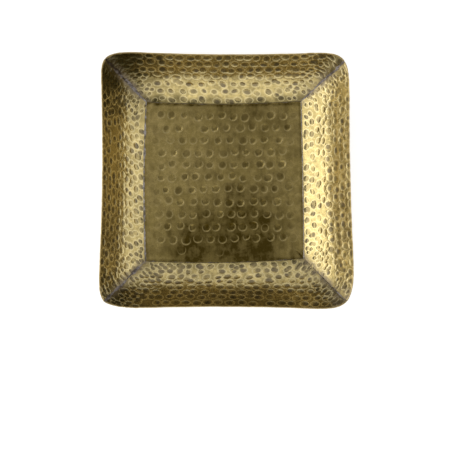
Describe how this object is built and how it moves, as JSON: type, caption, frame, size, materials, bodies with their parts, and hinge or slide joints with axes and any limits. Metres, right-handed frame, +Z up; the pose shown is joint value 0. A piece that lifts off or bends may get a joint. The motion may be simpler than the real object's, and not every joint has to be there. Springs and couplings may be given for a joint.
{
  "type": "brass tray",
  "caption": "Square hand-hammered brass tray with a flat floor and low, dished, outward-sloping walls brazed at the mitred corners.",
  "frame": {"origin": "centre of the footprint of the whole tray, on the surface that it stands on", "axes": "+Z up out of the tray's open side; +X to the right and +Y to the back as the tray is seen from its front"},
  "size_m": [0.303, 0.3056, 0.0535],
  "materials": {
    "floor_brass": "aged, hammered, satin",
    "wall_brass": "aged, hammered, buffed on the high spots",
    "floor_seam": "brazing filler under a dull grey patina",
    "corner_seam": "brazing filler under a dull grey patina"
  },
  "bodies": {
    "root": {"floor_panel": "floor_brass", "wall_panel_front": "wall_brass", "wall_panel_right": "wall_brass", "wall_panel_back": "wall_brass", "wall_panel_left": "wall_brass", "floor_seam_front": "floor_seam", "floor_seam_right": "floor_seam", "floor_seam_back": "floor_seam", "floor_seam_left": "floor_seam", "corner_seam_front_left": "corner_seam", "corner_seam_front_right": "corner_seam", "corner_seam_back_right": "corner_seam", "corner_seam_back_left": "corner_seam"}
  },
  "joints": []
}
